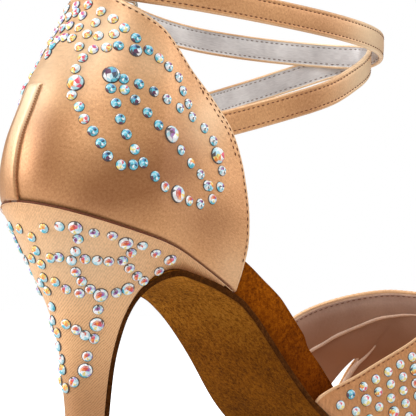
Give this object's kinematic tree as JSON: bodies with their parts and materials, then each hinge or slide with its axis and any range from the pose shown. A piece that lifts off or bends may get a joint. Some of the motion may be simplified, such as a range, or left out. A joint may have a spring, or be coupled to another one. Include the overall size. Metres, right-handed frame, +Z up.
{
  "type": "high-heeled ballroom dance sandal",
  "caption": "Left-foot satin ballroom sandal with a closed heel cup, crossed ankle straps, a banded open-toe vamp, a suede sole, a slim heel and scattered crystals.",
  "frame": {"origin": "on the floor under the middle of the shoe's box", "axes": "+X towards the toe, +Y to the outer side of the foot, +Z up"},
  "size_m": [0.2184, 0.0752, 0.145],
  "materials": {
    "satin": "tan satin with a soft sheen, silver and taupe lining, clear faceted crystals",
    "heel_satin": "the same satin drawn tight over the heel, diagonal weave, clear faceted crystals",
    "suede": "brushed brown suede with a dark cut edge",
    "sock": "orange-brown nubuck on the side, padded sock on top",
    "tip": "dark hard-wearing plastic",
    "metal": "polished pale metal"
  },
  "bodies": {
    "root": {"outsole": "suede", "insole": "sock", "heel": "heel_satin", "heel_tip": "tip", "counter": "satin", "back_strip": "satin", "vamp": "satin", "ankle_straps": "satin", "buckle": "metal", "buckle_prong": "metal"}
  },
  "joints": []
}
